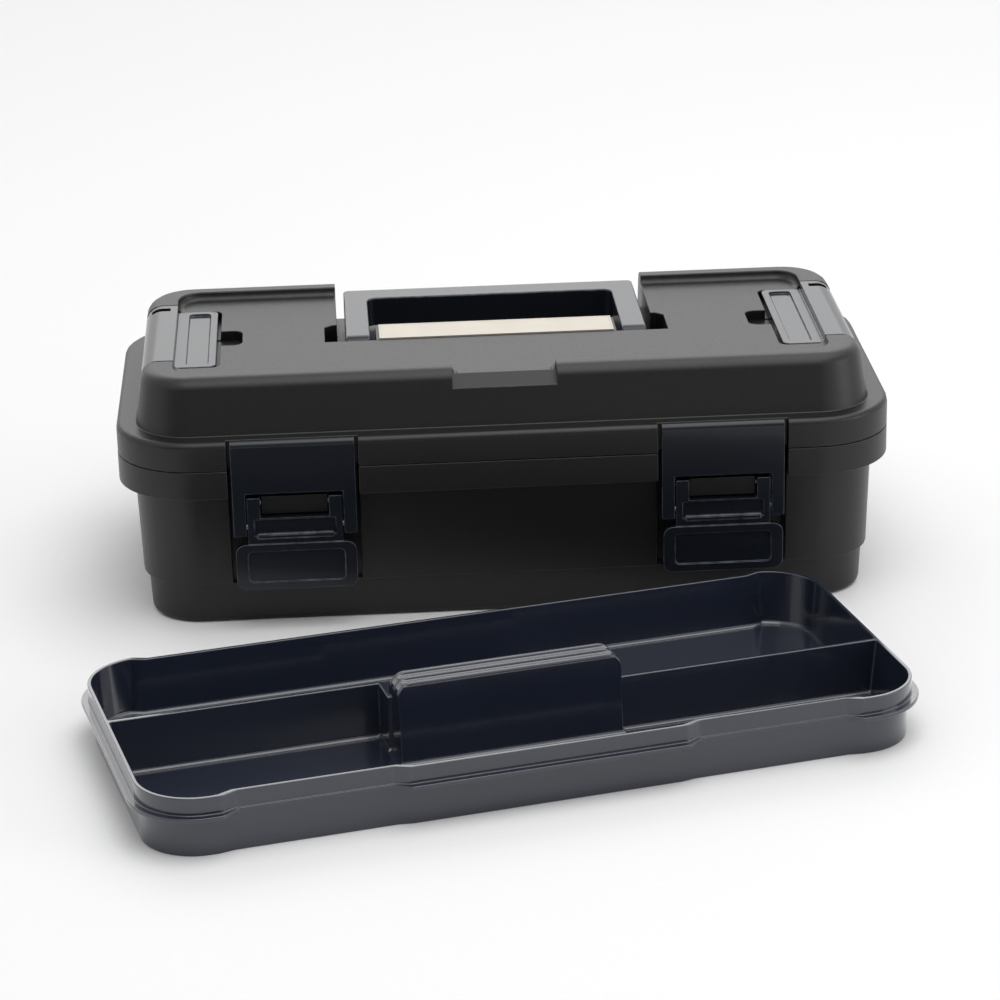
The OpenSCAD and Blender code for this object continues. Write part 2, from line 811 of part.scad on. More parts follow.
// Room in the middle of the tray's walls, where dividers end
module tray_core() {
    linear_extrude(tray_top_z) tray_plan(-1.5 * tray_wall, -1.5 * tray_wall);
    translate([0, 0, tray_top_z - lap]) linear_extrude(tray_h) intersection() {
        tray_plan(-tray_wall / 2, -tray_wall / 2);
        square([2 * tray_x, 2 * tray_y], center = true);
    }
}

// Hollow inside the grip, open through the tray's floor
module grip_hollow() {
    x = grip_x - grip_wall;
    top = grip_h - ridge_h - grip_wall;
    along_x(-x, x) polygon([
        [-grip_front - grip_lean + grip_wall, -lap],
        [-grip_front + grip_wall, top],
        [grip_back - grip_wall, top],
        [grip_back + grip_lean / 2 - grip_wall, -lap]
    ]);
}

// Grip block in the middle of the tray
module grip() {
    foot = tray_floor / 2;
    difference() {
        intersection() {
            along_x(-grip_x, grip_x) difference() {
                polygon([
                    [-grip_front - grip_lean, foot],
                    [-grip_front, grip_h - ridge_h],
                    [-grip_front + ridge_h, grip_h],
                    [grip_back, grip_h],
                    [grip_back + grip_lean / 2, foot]
                ]);
                for (i = [0, 1])
                    translate([first_ridge - (i + 0.5) * ridge_pitch, grip_h + ridge_r - ridge_h])
                        circle(ridge_r);
            }
            along_y(-tray_y, tray_y) plan([grip_x, grip_h, grip_r]);
        }
        grip_hollow();
    }
}

// Dividers that run from the grip to the tray's walls
module dividers() {
    z = [tray_floor / 2, tray_h];
    t = divider_t / 2;
    y = left_divider_y;
    block([-tray_x, -grip_x], [y - t, y + t], z);
    block([-grip_x - divider_t + lap, -grip_x + lap], [grip_back - lap, y + t], z);
    y_right = right_divider_y + t;
    block([grip_x - lap, tray_x], [y_right - t, y_right + t], z);
}

module tray() {
    color(tray_colour) translate([-tray_left, tray_pos_y, 0]) rotate(tray_turn) difference() {
        union() {
            difference() {
                union() {
                    linear_extrude(tray_top_z) tray_plan(-tray_wall, 0);
                    translate([0, 0, ledge_z]) linear_extrude(ledge_t) tray_plan(ledge_out, 1);
                    translate([0, 0, tray_top_z - lap]) linear_extrude(tray_h - tray_top_z + lap)
                        tray_plan(0, 0);
                }
                translate([0, 0, tray_floor]) linear_extrude(tray_h)
                    tray_plan(-2 * tray_wall, -2 * tray_wall);
                translate([0, 0, tray_top_z]) linear_extrude(tray_h) tray_plan(-tray_wall, -tray_wall);
            }
            intersection() {
                dividers();
                tray_core();
            }
            grip();
        }
        grip_hollow();
    }
}

tub();
lid();
handle();
label_plate();
tray();
hinge_pin(left);  // hinge_pin_left
hinge_pin(right);  // hinge_pin_right
latch_lever(left);  // latch_lever_left
latch_lever(right);  // latch_lever_right
latch_hook(left);  // latch_hook_left
latch_hook(right);  // latch_hook_right
lever_pin(left);  // lever_pin_left
lever_pin(right);  // lever_pin_right
hook_pin(left);  // hook_pin_left
hook_pin(right);  // hook_pin_right
clip(left);  // clip_left
clip(right);  // clip_right
clip_pin(left);  // clip_pin_left
clip_pin(right);  // clip_pin_right
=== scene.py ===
"""A toolbox with its lift-out tray: the moulded pieces, their finishes and the studio.

Sizes are in millimetres and become metres where they meet a mesh, with the factor MM.
"""

import logging
import math
from collections.abc import Callable
from dataclasses import dataclass
from enum import Enum
from typing import Protocol

import bmesh
import bpy
from mathutils import Matrix, Vector


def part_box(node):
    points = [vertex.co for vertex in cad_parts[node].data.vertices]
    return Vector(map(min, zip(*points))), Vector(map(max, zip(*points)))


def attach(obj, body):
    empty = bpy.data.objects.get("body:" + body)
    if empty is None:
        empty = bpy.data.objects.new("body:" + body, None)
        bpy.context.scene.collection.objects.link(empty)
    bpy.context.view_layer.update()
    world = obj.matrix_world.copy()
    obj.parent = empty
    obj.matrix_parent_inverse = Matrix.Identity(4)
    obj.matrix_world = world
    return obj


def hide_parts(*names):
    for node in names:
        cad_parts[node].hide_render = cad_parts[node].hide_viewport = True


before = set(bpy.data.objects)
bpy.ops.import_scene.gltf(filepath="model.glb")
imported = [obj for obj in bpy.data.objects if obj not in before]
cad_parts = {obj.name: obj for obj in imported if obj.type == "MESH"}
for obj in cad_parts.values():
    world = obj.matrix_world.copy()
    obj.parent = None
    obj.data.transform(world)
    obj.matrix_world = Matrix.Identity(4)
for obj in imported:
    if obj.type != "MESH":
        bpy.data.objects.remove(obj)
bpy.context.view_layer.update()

MM = 0.001

# The faces of roundings carry this value, because hands rub there.
WEAR = "edge_wear"
# The least turn of a corner, in degrees. The steps of a finished rounding turn by 30.
CORNER = 31.0
# Shading stays sharp where two faces turn by more than this, in degrees.
SHARP = 32.0
# Points this close to a height lie at it.
NEAR = 0.02
# A cut this close to a point goes through it.
SNAP = 0.001
# Points this close together are one point.
MERGE = 0.002
# Packed triangles that turn by less than this, in degrees, are one flat face.
FLAT = 0.5
# An edge stands upright where its direction is upright by this share.
UPRIGHT = 0.95
# A face lies level where its normal is upright by this share.
LEVEL = 0.99
# Noise is seldom outside these two values.
NOISE_LOW, NOISE_HIGH = 0.3, 0.7

ALONG_X = Vector((1.0, 0.0, 0.0))
ALONG_Y = Vector((0.0, 1.0, 0.0))

log = logging.getLogger("toolbox")

Pick = Callable[[bmesh.types.BMEdge], bool]
Geometry = bmesh.types.BMVert | bmesh.types.BMEdge | bmesh.types.BMFace
Triple = tuple[float, float, float]


class Side(Enum):
    """The two ends of the box, as the sign of X."""

    LEFT = -1
    RIGHT = 1

    @property
    def tag(self) -> str:
        """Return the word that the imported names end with."""
        return self.name.lower()


# --- Finishes ----------------------------------------------------------------


def linear(code: str) -> tuple[float, float, float, float]:
    """Turn an sRGB hex colour into linear values.

    Args:
        code: The colour as #rrggbb.

    Returns:
        Red, green, blue and a full alpha.
    """
    parts = [int(code[i:i + 2], 16) / 255 for i in (1, 3, 5)]
    r, g, b = (p / 12.92 if p <= 0.04045 else ((p + 0.055) / 1.055) ** 2.4 for p in parts)
    return r, g, b, 1.0


def add_node(tree: bpy.types.NodeTree, kind: str, sockets: dict | None = None,
             **settings: object) -> bpy.types.Node:
    """Add a shader node with its settings, values and links.

    Args:
        tree: The node tree.
        kind: The node's type, such as ShaderNodeTexNoise.
        sockets: Input names or numbers with a value, or an output socket to link.
        settings: The node's own properties.

    Returns:
        The new node.
    """
    node = tree.nodes.new(kind)
    for key, value in settings.items():
        setattr(node, key, value)
    for key, value in (sockets or {}).items():
        if isinstance(value, bpy.types.NodeSocket):
            tree.links.new(value, node.inputs[key])
        else:
            node.inputs[key].default_value = value
    return node


def blank_material(name: str) -> tuple[bpy.types.Material, bpy.types.NodeTree]:
    """Start a material with an empty node tree.

    Args:
        name: The material's name.

    Returns:
        The material and its tree.
    """
    material = bpy.data.materials.new(name)
    material.use_nodes = True
    material.node_tree.nodes.clear()
    return material, material.node_tree


@dataclass(frozen=True)
class MouldedPolypropylene:
    """Polypropylene injected into a spark-eroded or polished mould.

    To the eye it is a dark even plastic with a fine grain that breaks up reflections, slightly
    paler where hands rub the edges.

    Attributes:
        name: The material's name.
        colour: The plastic's colour.
        shade: Its colour in the clouds of the melt.
        rubbed: Its colour where hands rub it.
        roughness: The middle of its roughness.
        spread: How far the grain moves the roughness up and down.
        grain: The width of the mould's grain, in millimetres.
        relief: The strength of the grain's bumps.
        rub: The most that an edge takes of the rubbed colour.
        depth: The depth of the grain, as a share of its width.
        gleam: The level of its mirror reflection.
        polish: The share of a polished skin on top.
        polish_roughness: The roughness of that skin.
        bending: Its index of refraction.
        cloud: The width of the clouds, in millimetres.
        scuff: The width of the rubbed patches, in millimetres.
        scuff_from: The noise at which a rubbed patch begins.
    """

    name: str
    colour: str
    shade: str
    rubbed: str
    roughness: float
    spread: float
    grain: float
    relief: float
    rub: float
    depth: float = 0.25
    gleam: float = 0.5
    polish: float = 0.0
    polish_roughness: float = 0.09
    bending: float = 1.49
    cloud: float = 45.0
    scuff: float = 6.0
    scuff_from: float = 0.35

    def material(self) -> bpy.types.Material:
        """Make the material, with its grain, clouds and rubbed edges.

        Returns:
            The material.
        """
        material, tree = blank_material(self.name)
        where = add_node(tree, "ShaderNodeTexCoord").outputs["Object"]
        # The flow of the melt leaves a faint cloud about 45 mm across.
        cloud = add_node(tree, "ShaderNodeTexNoise",
                         {"Vector": where, "Scale": 1 / (self.cloud * MM),
                          "Detail": 3.0}).outputs["Fac"]
        # The mould's grain is about 0.15 mm; it is drawn coarser so that it shows at all.
        grain = add_node(tree, "ShaderNodeTexNoise",
                         {"Vector": where, "Scale": 1 / (self.grain * MM), "Detail": 2.0,
                          "Roughness": 0.6}).outputs["Fac"]
        scuff = add_node(tree, "ShaderNodeTexNoise",
                         {"Vector": where, "Scale": 1 / (self.scuff * MM),
                          "Detail": 4.0}).outputs["Fac"]
        worn = add_node(tree, "ShaderNodeAttribute", attribute_name=WEAR,
                        attribute_type="GEOMETRY").outputs["Fac"]
        patch = add_node(tree, "ShaderNodeMapRange",
                         {"Value": scuff, "From Min": self.scuff_from, "From Max": NOISE_HIGH,
                          "To Max": self.rub})
        wear = add_node(tree, "ShaderNodeMath", {0: worn, 1: patch.outputs["Result"]},
                        operation="MULTIPLY").outputs["Value"]
        body = add_node(tree, "ShaderNodeMix",
                        {"Factor": cloud, "A": linear(self.colour), "B": linear(self.shade)},
                        data_type="RGBA")
        colour = add_node(tree, "ShaderNodeMix",
                          {"Factor": wear, "A": body.outputs["Result"], "B": linear(self.rubbed)},
                          data_type="RGBA")
        rough = add_node(tree, "ShaderNodeMapRange",
                         {"Value": grain, "From Min": NOISE_LOW, "From Max": NOISE_HIGH,
                          "To Min": self.roughness - self.spread,
                          "To Max": self.roughness + self.spread})
        bump = add_node(tree, "ShaderNodeBump",
                        {"Height": grain, "Strength": self.relief,
                         "Distance": self.depth * self.grain * MM})
        shader = add_node(tree, "ShaderNodeBsdfPrincipled",
                          {"Base Color": colour.outputs["Result"],
                           "Roughness": rough.outputs["Result"], "IOR": self.bending,
                           "Specular IOR Level": self.gleam, "Coat Weight": self.polish,
                           "Coat Roughness": self.polish_roughness,
                           "Normal": bump.outputs["Normal"]})
        add_node(tree, "ShaderNodeOutputMaterial", {"Surface": shader.outputs["BSDF"]})
        return material


@dataclass(frozen=True)
class SatinPlate:
    """An anodised aluminium name plate, brushed along its length before it was dyed.

    To the eye it is a warm grey metal whose fine lines stretch the reflections across it.

    Attributes:
        name: The material's name.
        colour: The dyed metal's colour.
        shade: Its colour in the brush lines.
        roughness: Its roughness where it is untouched.
        handled: How much rougher it is where it was handled.
        metallic: How much of it is bare metal under the dye.
        line: The width of a brush line, in millimetres.
        squeeze: The width of a brush line as a share of its length.
        mark: The width of a handling mark, in millimetres.
        relief: The strength of the brush lines' bumps.
        depth: The depth of the brush lines, in millimetres.
    """

    name: str = "anodised_aluminium_plate"
    colour: str = "#cdc7bd"
    shade: str = "#b9b3a9"
    roughness: float = 0.5
    handled: float = 0.12
    metallic: float = 0.8
    line: float = 0.4
    squeeze: float = 0.013
    mark: float = 14.0
    relief: float = 0.12
    depth: float = 0.05

    def material(self) -> bpy.types.Material:
        """Make the material, with its brushed lines and faint handling marks.

        Returns:
            The material.
        """
        material, tree = blank_material(self.name)
        where = add_node(tree, "ShaderNodeTexCoord").outputs["Object"]
        # Brush lines are 0.1 mm wide and some 30 mm long; they are drawn 0.4 mm wide to show.
        along = add_node(tree, "ShaderNodeMapping",
                         {"Vector": where, "Scale": (self.squeeze, 1.0, 1.0)})
        lines = add_node(tree, "ShaderNodeTexNoise",
                         {"Vector": along.outputs["Vector"], "Scale": 1 / (self.line * MM),
                          "Detail": 3.0}).outputs["Fac"]
        marks = add_node(tree, "ShaderNodeTexNoise",
                         {"Vector": where, "Scale": 1 / (self.mark * MM),
                          "Detail": 4.0}).outputs["Fac"]
        mix = add_node(tree, "ShaderNodeMath", {0: lines, 1: marks}, operation="MULTIPLY")
        colour = add_node(tree, "ShaderNodeMix",
                          {"Factor": mix.outputs["Value"], "A": linear(self.shade),
                           "B": linear(self.colour)}, data_type="RGBA")
        rough = add_node(tree, "ShaderNodeMapRange",
                         {"Value": marks, "From Min": NOISE_LOW, "From Max": NOISE_HIGH,
                          "To Min": self.roughness, "To Max": self.roughness + self.handled})
        bump = add_node(tree, "ShaderNodeBump",
                        {"Height": lines, "Strength": self.relief, "Distance": self.depth * MM})
        shader = add_node(tree, "ShaderNodeBsdfPrincipled",
                          {"Base Color": colour.outputs["Result"], "Metallic": self.metallic,
                           "Roughness": rough.outputs["Result"],
                           "Normal": bump.outputs["Normal"]})
        add_node(tree, "ShaderNodeOutputMaterial", {"Surface": shader.outputs["BSDF"]})
        return material


@dataclass(frozen=True)
class DrawnSteel:
    """Zinc-plated steel wire, drawn and cut to length for the hinge, latch and clip pins.

    To the eye it is a pale blue-grey metal with fine lines and duller spots.

    Attributes:
        name: The material's name.
        colour: The plating's colour.
        dull: Its colour in the duller spots.
        roughness: The middle of its roughness.
        smoother: How much smoother it is between the spots.
        duller: How much rougher it is in the spots.
        line: The width of a drawing line, in millimetres.
        squeeze: The width of a drawing line as a share of its length.
        spot: The width of a spot, in millimetres.
        relief: The strength of the drawing lines' bumps.
        depth: The depth of the drawing lines, in millimetres.
    """

    name: str = "zinc_plated_steel_wire"
    colour: str = "#b9bcc0"
    dull: str = "#8d9094"
    roughness: float = 0.32
    smoother: float = 0.08
    duller: float = 0.12
    line: float = 0.3
    squeeze: float = 0.03
    spot: float = 2.5
    relief: float = 0.15
    depth: float = 0.05

    def material(self) -> bpy.types.Material:
        """Make the material, with its drawing lines and duller spots.

        Returns:
            The material.
        """
        material, tree = blank_material(self.name)
        where = add_node(tree, "ShaderNodeTexCoord").outputs["Object"]
        # Drawing lines run along the wire of the hinges and latches, which lies left to right.
        # They are a few hundredths of a millimetre wide and are drawn 0.3 mm wide to show.
        along = add_node(tree, "ShaderNodeMapping",
                         {"Vector": where, "Scale": (self.squeeze, 1.0, 1.0)})
        lines = add_node(tree, "ShaderNodeTexNoise",
                         {"Vector": along.outputs["Vector"], "Scale": 1 / (self.line * MM),
                          "Detail": 2.0}).outputs["Fac"]
        spots = add_node(tree, "ShaderNodeTexNoise",
                         {"Vector": where, "Scale": 1 / (self.spot * MM),
                          "Detail": 4.0}).outputs["Fac"]
        colour = add_node(tree, "ShaderNodeMix",
                          {"Factor": spots, "A": linear(self.colour), "B": linear(self.dull)},
                          data_type="RGBA")
        rough = add_node(tree, "ShaderNodeMapRange",
                         {"Value": spots, "From Min": NOISE_LOW, "From Max": NOISE_HIGH,
                          "To Min": self.roughness - self.smoother,
                          "To Max": self.roughness + self.duller})
        bump = add_node(tree, "ShaderNodeBump",
                        {"Height": lines, "Strength": self.relief, "Distance": self.depth * MM})
        shader = add_node(tree, "ShaderNodeBsdfPrincipled",
                          {"Base Color": colour.outputs["Result"], "Metallic": 1.0,
                           "Roughness": rough.outputs["Result"],
                           "Normal": bump.outputs["Normal"]})
        add_node(tree, "ShaderNodeOutputMaterial", {"Surface": shader.outputs["BSDF"]})
        return material


class Finish(Enum):
    """The finishes that new pieces take, each with its real material and the name of a material
    slot in the record.
    """

    SHELL = ("shell", MouldedPolypropylene(
        "grained_polypropylene_charcoal", "#0c0c0b", "#111110", "#3c3b38", roughness=0.39,
        spread=0.05, grain=0.7, relief=0.22, rub=0.35, gleam=0.43))
    TRIM = ("navy_trim", MouldedPolypropylene(
        "moulded_polypropylene_navy_trim", "#14181f", "#181c24", "#565d69", roughness=0.25,
        spread=0.02, grain=0.6, relief=0.03, rub=0.6, gleam=0.26, polish=0.28))
    TRAY = ("tray", MouldedPolypropylene(
        "polished_polypropylene_navy_tray", "#1e2330", "#232938", "#3a404d", roughness=0.2,
        spread=0.03, grain=1.6, relief=0.05, rub=0.3, polish=0.9))
    LABEL = ("label", SatinPlate())

    def __init__(self, slot: str, recipe: MouldedPolypropylene | SatinPlate) -> None:
        """Keep the slot's name, and make its material.

        Args:
            slot: The slot's name in the record.
            recipe: What the material is made from.
        """
        self.slot = slot
        self.material = recipe.material()


# --- Mesh kit ----------------------------------------------------------------


def packed_box(node: str) -> tuple[Vector, Vector]:
    """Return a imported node's lowest and highest corners, in metres."""
    low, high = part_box(node)
    return Vector(low), Vector(high)


def packed_copy(node: str) -> bmesh.types.BMesh:
    """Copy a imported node's mesh, joined up and with each flat face whole.

    Args:
        node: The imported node's name.

    Returns:
        The copy, ready to be worked on.
    """
    bm = bmesh.new()
    bm.from_mesh(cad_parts[node].data)
    bmesh.ops.remove_doubles(bm, verts=bm.verts, dist=MERGE * MM)
    bmesh.ops.dissolve_limit(bm, angle_limit=math.radians(FLAT), verts=bm.verts, edges=bm.edges)
    bm.loops.layers.float.new(WEAR)
    return bm


def block(bm: bmesh.types.BMesh, low: Vector, high: Vector) -> list[bmesh.types.BMVert]:
    """Add a block between two corners.

    Args:
        bm: The mesh to add to.
        low: Its lowest corner, in metres.
        high: Its highest corner.

    Returns:
        Its points.
    """
    made = bmesh.ops.create_cube(bm, size=1.0)["verts"]
    bmesh.ops.scale(bm, vec=high - low, verts=made)
    bmesh.ops.translate(bm, vec=(low + high) / 2, verts=made)
    return made


def cut_across(bm: bmesh.types.BMesh, geom: list[Geometry], axis: Vector, place: float) -> None:
    """Cut a mesh along a plane that stands square to one axis.

    Args:
        bm: The mesh.
        geom: The points, edges and faces to cut.
        axis: The axis.
        place: The plane's place on it, in metres.
    """
    bmesh.ops.bisect_plane(bm, geom=geom, dist=SNAP * MM, plane_co=axis * place, plane_no=axis)


def level(height: float) -> Pick:
    """Make a test for edges that lie at one height.

    Args:
        height: The height in millimetres.

    Returns:
        The test.
    """
    return lambda edge: all(abs(v.co.z - height * MM) < NEAR * MM for v in edge.verts)


def upright(edge: bmesh.types.BMEdge) -> bool:
    """Tell whether an edge stands upright."""
    along = edge.verts[1].co - edge.verts[0].co
    return abs(along.z) > UPRIGHT * along.length


def off_middle(edge: bmesh.types.BMEdge) -> float:
    """Return how far an edge's own middle is ahead of or behind the box's, in millimetres."""
    return abs(edge.verts[0].co.y + edge.verts[1].co.y) / 2 / MM


def corners(bm: bmesh.types.BMesh, pick: Pick | None = None,
            angle: float = CORNER) -> list[bmesh.types.BMEdge]:
    """Find the edges that stand as corners.

    Args:
        bm: The mesh.
        pick: A test that a corner also has to pass.
        angle: The least turn between the two faces, in degrees.

    Returns:
        The edges found.
    """
    least = math.radians(angle)
    return [e for e in bm.edges
            if e.is_manifold and e.calc_face_angle(0.0) > least and (pick is None or pick(e))]


def mark_worn(bm: bmesh.types.BMesh, faces: list[bmesh.types.BMFace]) -> None:
    """Mark faces as places that hands rub.

    Args:
        bm: The mesh.
        faces: The faces.
    """
    wear = bm.loops.layers.float[WEAR]
    for face in faces:
        for loop in face.loops:
            loop[wear] = 1.0


def soften(bm: bmesh.types.BMesh, width: float, pick: Pick | None = None,
           segments: int = 3, angle: float = CORNER) -> None:
    """Round corners, and mark the roundings as worn.

    Args:
        bm: The mesh.
        width: The width of each rounding, in millimetres.
        pick: A test for the edges to round; all corners without it.
        segments: The steps of each rounding.
        angle: The least turn of a corner, in degrees.
    """
    chosen = corners(bm, pick, angle)
    if chosen:
        made = bmesh.ops.bevel(bm, geom=chosen, offset=width * MM, offset_type="OFFSET",
                               affect="EDGES", segments=segments, profile=0.5, material=-1,
                               clamp_overlap=False, loop_slide=True)
        mark_worn(bm, made["faces"])


def rounded_bar(bm: bmesh.types.BMesh, low: Vector, high: Vector, radius: float) -> None:
    """Add a bar with round edges and ends.

    Args:
        bm: The mesh to add to.
        low: Its lowest corner, in metres.
        high: Its highest corner.
        radius: The rounding of its edges, in millimetres.
    """
    edges = {edge for vert in block(bm, low, high) for edge in vert.link_edges}
    made = bmesh.ops.bevel(bm, geom=list(edges), offset=radius * MM, offset_type="OFFSET",
                           affect="EDGES", segments=4, profile=0.5, material=-1,
                           clamp_overlap=True)
    mark_worn(bm, made["faces"])


def stand(bm: bmesh.types.BMesh, name: str, material: bpy.types.Material) -> bpy.types.Object:
    """Make an object from a mesh, and link it to the scene.

    Args:
        bm: The mesh, which is freed.
        name: The object's name.
        material: Its material.

    Returns:
        The object.
    """
    mesh = bpy.data.meshes.new(name)
    bm.to_mesh(mesh)
    bm.free()
    mesh.materials.append(material)
    thing = bpy.data.objects.new(name, mesh)
    bpy.context.scene.collection.objects.link(thing)
    return thing


def make_piece(bm: bmesh.types.BMesh, name: str, body: str, finish: Finish,
               *nodes: str) -> bpy.types.Object:
    """Make a piece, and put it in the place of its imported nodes.

    Args:
        bm: The mesh, which is freed.
        name: The piece's name.
        body: The body that it moves with.
        finish: The finish that it takes.
        nodes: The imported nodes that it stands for.

    Returns:
        The piece.
    """
    for face in bm.faces:
        face.smooth = True
    for edge in corners(bm, angle=SHARP):
        edge.smooth = False
    piece = stand(bm, name, finish.material)
    even = piece.modifiers.new("even_shading", "WEIGHTED_NORMAL")
    even.keep_sharp = True
    even.weight = 100
    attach(piece, body)
    if nodes:
        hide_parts(*nodes)
    return piece


# --- Sub-assemblies ----------------------------------------------------------


class SubAssembly(Protocol):
    """What every sub-assembly can do."""

    def build(self) -> list[bpy.types.Object]:
        """Build its pieces and return them."""


@dataclass
class Tub:
    """The lower half of the box, with its flange, foot and latch pockets.

    Attributes:
        edge: The rounding of its corners.
    """

    edge: float = 0.5

    def build(self) -> list[bpy.types.Object]:
        """Build the tub.

        Returns:
            The tub.
        """
        bm = packed_copy("tub")
        soften(bm, self.edge)
        return [make_piece(bm, "tub_shell", "tub", Finish.SHELL, "tub")]


@dataclass
class Lid:
    """The hinged lid, with its dome, recess, handle channel and finger slots.

    Attributes:
        edge: The rounding of its other corners.
        recess_depth: The depth of the sunken top.
        cove: The cove round the foot of the sunken top's walls.
        cove_from: How far off the middle the cove begins, past the clips' pockets.
        brim: The rounding along the upper edge of the sunken top.
        brim_to: How far off the middle that edge reaches.
        slot_levels: The depths, from the lid's top, of the pockets' and slots' floors and of
            their undersides.
        slot_to: How far off the middle the finger slots and their walls reach.
    """

    edge: float = 0.5
    recess_depth: float = 4.3
    cove: float = 3.2
    cove_from: float = 46.1
    brim: float = 0.9
    brim_to: float = 66.7
    slot_levels: tuple[float, ...] = (9.0, 9.5, 11.5, 12.0)
    slot_to: float = 14.5

    def build(self) -> list[bpy.types.Object]:
        """Build the lid.

        Returns:
            The lid.
        """
        bm = packed_copy("lid")
        top = packed_box("lid")[1].z / MM
        at_floor, at_top = level(top - self.recess_depth), level(top)
        soften(bm, self.cove, segments=5,
               pick=lambda e: at_floor(e) and not e.is_convex and off_middle(e) > self.cove_from)
        soften(bm, self.brim, lambda e: at_top(e) and off_middle(e) < self.brim_to)
        # The feet of the finger slots stay sharp: they lie half a millimetre under the pockets.
        feet = [level(top - depth) for depth in self.slot_levels]
        soften(bm, self.edge,
               lambda e: off_middle(e) > self.slot_to or not any(at_foot(e) for at_foot in feet))
        return [make_piece(bm, "lid_shell", "lid", Finish.SHELL, "lid")]


@dataclass
class CarryHandle:
    """The bail handle that folds into the lid.

    Attributes:
        edge: The rounding of its corners.
    """

    edge: float = 0.9

    def build(self) -> list[bpy.types.Object]:
        """Build the handle.

        Returns:
            The handle.
        """
        bm = packed_copy("handle")
        soften(bm, self.edge)
        return [make_piece(bm, "carry_handle", "handle", Finish.TRIM, "handle")]


@dataclass
class LabelPlate:
    """The bare name plate in front of the handle.

    Attributes:
        edge: The rounding of its corners.
        border: The width of its raised border.
        slope: The width of the slope inside the border.
        sink: How far its face lies below the border.
        foot: How far up its edges stay sharp.
    """

    edge: float = 0.11
    border: float = 1.4
    slope: float = 0.3
    sink: float = 0.25
    foot: float = 0.5

    def build(self) -> list[bpy.types.Object]:
        """Build the plate with its raised border.

        Returns:
            The plate.
        """
        low, high = packed_box("label_plate")
        bm = bmesh.new()
        block(bm, low, high)
        bm.loops.layers.float.new(WEAR)
        top = [f for f in bm.faces if f.normal.z > LEVEL]
        bmesh.ops.inset_region(bm, faces=top, thickness=self.border * MM)
        bmesh.ops.inset_region(bm, faces=top, thickness=self.slope * MM, depth=-self.sink * MM)
        above = low.z + self.foot * MM
        soften(bm, self.edge, lambda e: min(v.co.z for v in e.verts) > above)
        return [make_piece(bm, "name_plate", "lid", Finish.LABEL, "label_plate")]


@dataclass
class DrawLatch:
    """One draw latch: the lever with its paddle, and the hook plate.

    Attributes:
        side: The end of the box that it is nearer to.
        edge: The rounding of its corners.
        lip: The rounding of the lip under the paddle's panel.
        panel_foot: The height of that lip above the lever's foot.
        bar_half: Half the length of the thumb bar.
        bar_height: The height of the thumb bar above the lever's foot.
        bar_radius: Half the depth of the thumb bar.
        bar_sunk: How far the thumb bar's middle lies behind the lever's face.
        bar_tall: Half the thumb bar's height, in bar_radius.
        bar_round: The rounding of the thumb bar, in bar_radius.
    """

    side: Side
    edge: float = 0.36
    lip: float = 0.8
    panel_foot: float = 4.0
    bar_half: float = 19.6
    bar_height: float = 28.4
    bar_radius: float = 1.5
    bar_sunk: float = 1.2
    bar_tall: float = 1.2
    bar_round: float = 0.9

    def trim_lever(self, bm: bmesh.types.BMesh, node: str) -> None:
        """Round the lip under the paddle's panel, and add the thumb bar across the neck.

        Args:
            bm: The lever's mesh.
            node: The lever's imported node.
        """
        low, high = packed_box(node)
        at_foot = level(low.z / MM + self.panel_foot)
        soften(bm, self.lip, lambda e: at_foot(e) and e.is_convex)
        x, y, z = (low.x + high.x) / 2, low.y + self.bar_sunk * MM, low.z + self.bar_height * MM
        dx, dy, dz = self.bar_half * MM, self.bar_radius * MM, self.bar_tall * self.bar_radius * MM
        rounded_bar(bm, Vector((x - dx, y - dy, z - dz)), Vector((x + dx, y + dy, z + dz)),
                    self.bar_radius * self.bar_round)

    def build(self) -> list[bpy.types.Object]:
        """Build the lever and the hook plate.

        Returns:
            The lever and the hook plate.
        """
        made: list[bpy.types.Object] = []
        for part in ("lever", "hook"):
            node = f"latch_{part}_{self.side.tag}"
            bm = packed_copy(node)
            if part == "lever":
                self.trim_lever(bm, node)
            soften(bm, self.edge)
            made.append(make_piece(bm, f"draw_latch_{part}_{self.side.tag}",
                                   f"{part}_{self.side.tag}", Finish.TRIM, node))
        return made


